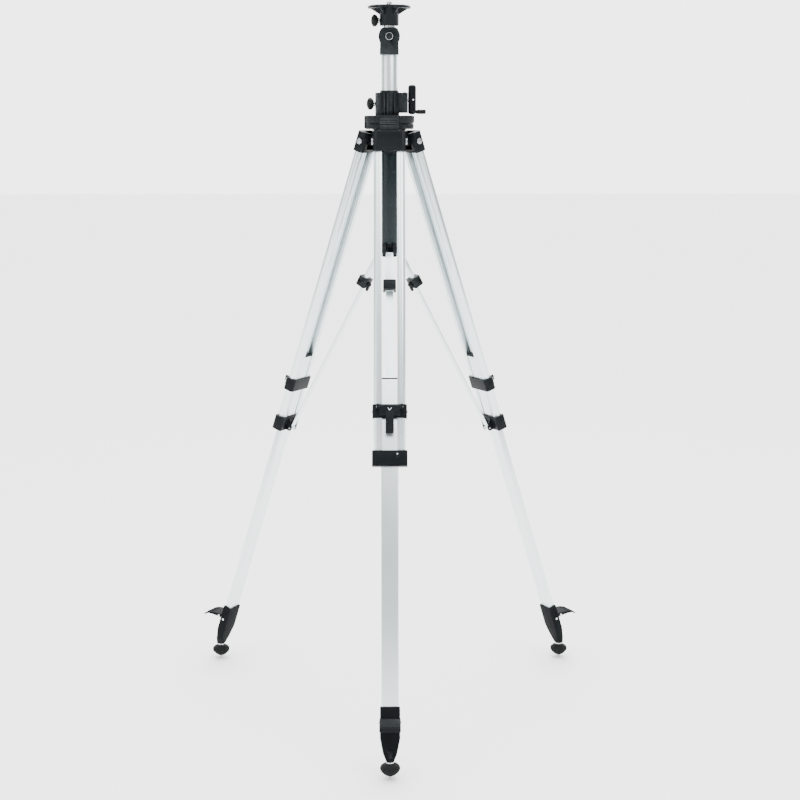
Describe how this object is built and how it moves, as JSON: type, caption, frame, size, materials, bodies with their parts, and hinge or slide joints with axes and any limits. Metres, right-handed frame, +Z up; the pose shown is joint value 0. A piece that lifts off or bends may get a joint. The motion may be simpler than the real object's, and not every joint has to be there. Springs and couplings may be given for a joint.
{
  "type": "crank-up laser level tripod",
  "caption": "Aluminium crank-up tripod for a rotating laser level: tilting screw platform on a geared column, telescoping twin-rail legs, struts and spiked rubber feet.",
  "frame": {"origin": "centre of the platform's top face, where the laser level sits", "axes": "+Z up, front leg towards -Y, crank on +X"},
  "size_m": [1.1654, 1.0093, 1.987],
  "materials": {
    "cast_black": "satin black powder coat on cast aluminium",
    "moulded_black": "fine-textured black glass-filled nylon",
    "coated_tube": "semi-gloss black coated tube",
    "knob_black": "matt black moulded plastic",
    "anodised": "clear anodised aluminium with fine extrusion lines",
    "zinc_steel": "bright zinc-plated steel",
    "rubber": "matt black rubber"
  },
  "bodies": {
    "head": {"crank_housing": "cast_black", "head_ring": "moulded_black", "head_casting": "cast_black", "guide_tube": "coated_tube", "strut_hub": "moulded_black", "pivot_pins": "zinc_steel"},
    "column": {"column_tube": "anodised", "tilt_socket": "cast_black"},
    "tilt_head": {"tilt_fork": "cast_black", "tilt_bolt": "zinc_steel"},
    "platform": {"platform": "cast_black", "laser_screw": "zinc_steel"},
    "platform_knob": {"platform_knob": "knob_black"},
    "tilt_knob": {"tilt_knob": "knob_black"},
    "crank": {"crank_shaft": "zinc_steel", "crank_arm": "cast_black"},
    "crank_handle": {"crank_handle": "knob_black"},
    "column_lock_knob": {"column_lock_knob": "knob_black"},
    "leg_front": {"shoulder_front": "moulded_black", "rails_front": "anodised", "clamp_collar_front": "moulded_black", "end_collar_front": "moulded_black", "leg_pins_front": "zinc_steel"},
    "lower_leg_front": {"inner_tube_front": "anodised", "foot_front": "cast_black", "foot_spike_front": "zinc_steel"},
    "foot_ball_front": {"foot_ball_front": "rubber"},
    "clamp_lever_front": {"clamp_lever_front": "moulded_black"},
    "strut_upper_front": {"strut_channel_front": "anodised", "strut_clamp_front": "moulded_black"},
    "strut_lower_front": {"strut_bar_front": "anodised"},
    "strut_knob_front": {"strut_knob_front": "knob_black"},
    "leg_left": {"shoulder_left": "moulded_black", "rails_left": "anodised", "clamp_collar_left": "moulded_black", "end_collar_left": "moulded_black", "leg_pins_left": "zinc_steel"},
    "lower_leg_left": {"inner_tube_left": "anodised", "foot_left": "cast_black", "foot_spike_left": "zinc_steel"},
    "foot_ball_left": {"foot_ball_left": "rubber"},
    "clamp_lever_left": {"clamp_lever_left": "moulded_black"},
    "strut_upper_left": {"strut_channel_left": "anodised", "strut_clamp_left": "moulded_black"},
    "strut_lower_left": {"strut_bar_left": "anodised"},
    "strut_knob_left": {"strut_knob_left": "knob_black"},
    "leg_right": {"shoulder_right": "moulded_black", "rails_right": "anodised", "clamp_collar_right": "moulded_black", "end_collar_right": "moulded_black", "leg_pins_right": "zinc_steel"},
    "lower_leg_right": {"inner_tube_right": "anodised", "foot_right": "cast_black", "foot_spike_right": "zinc_steel"},
    "foot_ball_right": {"foot_ball_right": "rubber"},
    "clamp_lever_right": {"clamp_lever_right": "moulded_black"},
    "strut_upper_right": {"strut_channel_right": "anodised", "strut_clamp_right": "moulded_black"},
    "strut_lower_right": {"strut_bar_right": "anodised"},
    "strut_knob_right": {"strut_knob_right": "knob_black"}
  },
  "joints": [
    {"name": "column_lift", "type": "slide", "parent": "head", "child": "column", "axis": [0, 0, 1], "range_m": [-0.09, 0.17]},
    {"name": "tilt", "type": "hinge", "parent": "column", "child": "tilt_head", "pos_m": [0, 0, -0.083], "axis": [0, 1, 0], "range_deg": [-85, 90]},
    {"name": "platform_swivel", "type": "hinge", "parent": "tilt_head", "child": "platform", "pos_m": [0, 0, -0.03], "axis": [0, 0, 1], "continuous": true},
    {"name": "platform_knob_turn", "type": "hinge", "parent": "platform", "child": "platform_knob", "pos_m": [-0.035, 0, -0.04], "axis": [1, 0, 0], "continuous": true},
    {"name": "tilt_knob_turn", "type": "hinge", "parent": "tilt_head", "child": "tilt_knob", "pos_m": [0, 0.03, -0.083], "axis": [0, 1, 0], "continuous": true},
    {"name": "crank_turn", "type": "hinge", "parent": "head", "child": "crank", "pos_m": [0.06, 0.0295, -0.253], "axis": [1, 0, 0], "range_deg": [-1300, 688]},
    {"name": "crank_handle_spin", "type": "hinge", "parent": "crank", "child": "crank_handle", "pos_m": [0.08, 0.0295, -0.286], "axis": [1, 0, 0], "continuous": true},
    {"name": "column_lock_turn", "type": "hinge", "parent": "head", "child": "column_lock_knob", "pos_m": [-0.05, 0, -0.264], "axis": [1, 0, 0], "continuous": true},
    {"name": "leg_spread_front", "type": "hinge", "parent": "head", "child": "leg_front", "pos_m": [0, -0.069, -0.366], "axis": [1, 0, 0], "range_deg": [0, 18]},
    {"name": "leg_slide_front", "type": "slide", "parent": "leg_front", "child": "lower_leg_front", "axis": [0, -0.3289, -0.9444], "range_m": [-0.6, 0.05]},
    {"name": "foot_ball_screw_front", "type": "slide", "parent": "lower_leg_front", "child": "foot_ball_front", "axis": [0, 0, 1], "range_m": [-0.0085, 0.0025]},
    {"name": "clamp_lever_open_front", "type": "hinge", "parent": "leg_front", "child": "clamp_lever_front", "pos_m": [0, -0.33073, -1.05526], "axis": [-1, 0, 0], "range_deg": [0, 100]},
    {"name": "strut_swing_front", "type": "hinge", "parent": "head", "child": "strut_upper_front", "pos_m": [0, -0.03, -0.678], "axis": [1, 0, 0], "range_deg": [0, 27.2]},
    {"name": "strut_foot_front", "type": "hinge", "parent": "leg_front", "child": "strut_lower_front", "pos_m": [0, -0.33549, -1.21032], "axis": [1, 0, 0], "range_deg": [0, 9.2]},
    {"name": "strut_knob_turn_front", "type": "hinge", "parent": "strut_upper_front", "child": "strut_knob_front", "pos_m": [0, -0.06837, -0.76897], "axis": [0, 0.8673, -0.4977], "continuous": true},
    {"name": "leg_spread_left", "type": "hinge", "parent": "head", "child": "leg_left", "pos_m": [-0.05976, 0.0345, -0.366], "axis": [-0.5, -0.866, 0], "range_deg": [0, 18]},
    {"name": "leg_slide_left", "type": "slide", "parent": "leg_left", "child": "lower_leg_left", "axis": [-0.2848, 0.1644, -0.9444], "range_m": [-0.6, 0.05]},
    {"name": "foot_ball_screw_left", "type": "slide", "parent": "lower_leg_left", "child": "foot_ball_left", "axis": [0, 0, 1], "range_m": [-0.0085, 0.0025]},
    {"name": "clamp_lever_open_left", "type": "hinge", "parent": "leg_left", "child": "clamp_lever_left", "pos_m": [-0.28642, 0.16537, -1.05526], "axis": [0.5, 0.866, 0], "range_deg": [0, 100]},
    {"name": "strut_swing_left", "type": "hinge", "parent": "head", "child": "strut_upper_left", "pos_m": [-0.02598, 0.015, -0.678], "axis": [-0.5, -0.866, 0], "range_deg": [0, 27.2]},
    {"name": "strut_foot_left", "type": "hinge", "parent": "leg_left", "child": "strut_lower_left", "pos_m": [-0.29055, 0.16775, -1.21032], "axis": [-0.5, -0.866, 0], "range_deg": [0, 9.2]},
    {"name": "strut_knob_turn_left", "type": "hinge", "parent": "strut_upper_left", "child": "strut_knob_left", "pos_m": [-0.05921, 0.03419, -0.76897], "axis": [0.7511, -0.4337, -0.4977], "continuous": true},
    {"name": "leg_spread_right", "type": "hinge", "parent": "head", "child": "leg_right", "pos_m": [0.05976, 0.0345, -0.366], "axis": [-0.5, 0.866, 0], "range_deg": [0, 18]},
    {"name": "leg_slide_right", "type": "slide", "parent": "leg_right", "child": "lower_leg_right", "axis": [0.2848, 0.1644, -0.9444], "range_m": [-0.6, 0.05]},
    {"name": "foot_ball_screw_right", "type": "slide", "parent": "lower_leg_right", "child": "foot_ball_right", "axis": [0, 0, 1], "range_m": [-0.0085, 0.0025]},
    {"name": "clamp_lever_open_right", "type": "hinge", "parent": "leg_right", "child": "clamp_lever_right", "pos_m": [0.28642, 0.16537, -1.05526], "axis": [0.5, -0.866, 0], "range_deg": [0, 100]},
    {"name": "strut_swing_right", "type": "hinge", "parent": "head", "child": "strut_upper_right", "pos_m": [0.02598, 0.015, -0.678], "axis": [-0.5, 0.866, 0], "range_deg": [0, 27.2]},
    {"name": "strut_foot_right", "type": "hinge", "parent": "leg_right", "child": "strut_lower_right", "pos_m": [0.29055, 0.16775, -1.21032], "axis": [-0.5, 0.866, 0], "range_deg": [0, 9.2]},
    {"name": "strut_knob_turn_right", "type": "hinge", "parent": "strut_upper_right", "child": "strut_knob_right", "pos_m": [0.05921, 0.03419, -0.76897], "axis": [-0.7511, -0.4337, -0.4977], "continuous": true}
  ],
  "couplings": [
    {"joint": "crank_turn", "follows": "column_lift", "rad_per_m": -133.33},
    {"joint": "strut_swing_front", "follows": "leg_spread_front", "ratio": 1.4835},
    {"joint": "strut_foot_front", "follows": "leg_spread_front", "ratio": 0.48346},
    {"joint": "strut_swing_left", "follows": "leg_spread_left", "ratio": 1.4835},
    {"joint": "strut_foot_left", "follows": "leg_spread_left", "ratio": 0.48346},
    {"joint": "strut_swing_right", "follows": "leg_spread_right", "ratio": 1.4835},
    {"joint": "strut_foot_right", "follows": "leg_spread_right", "ratio": 0.48346}
  ]
}
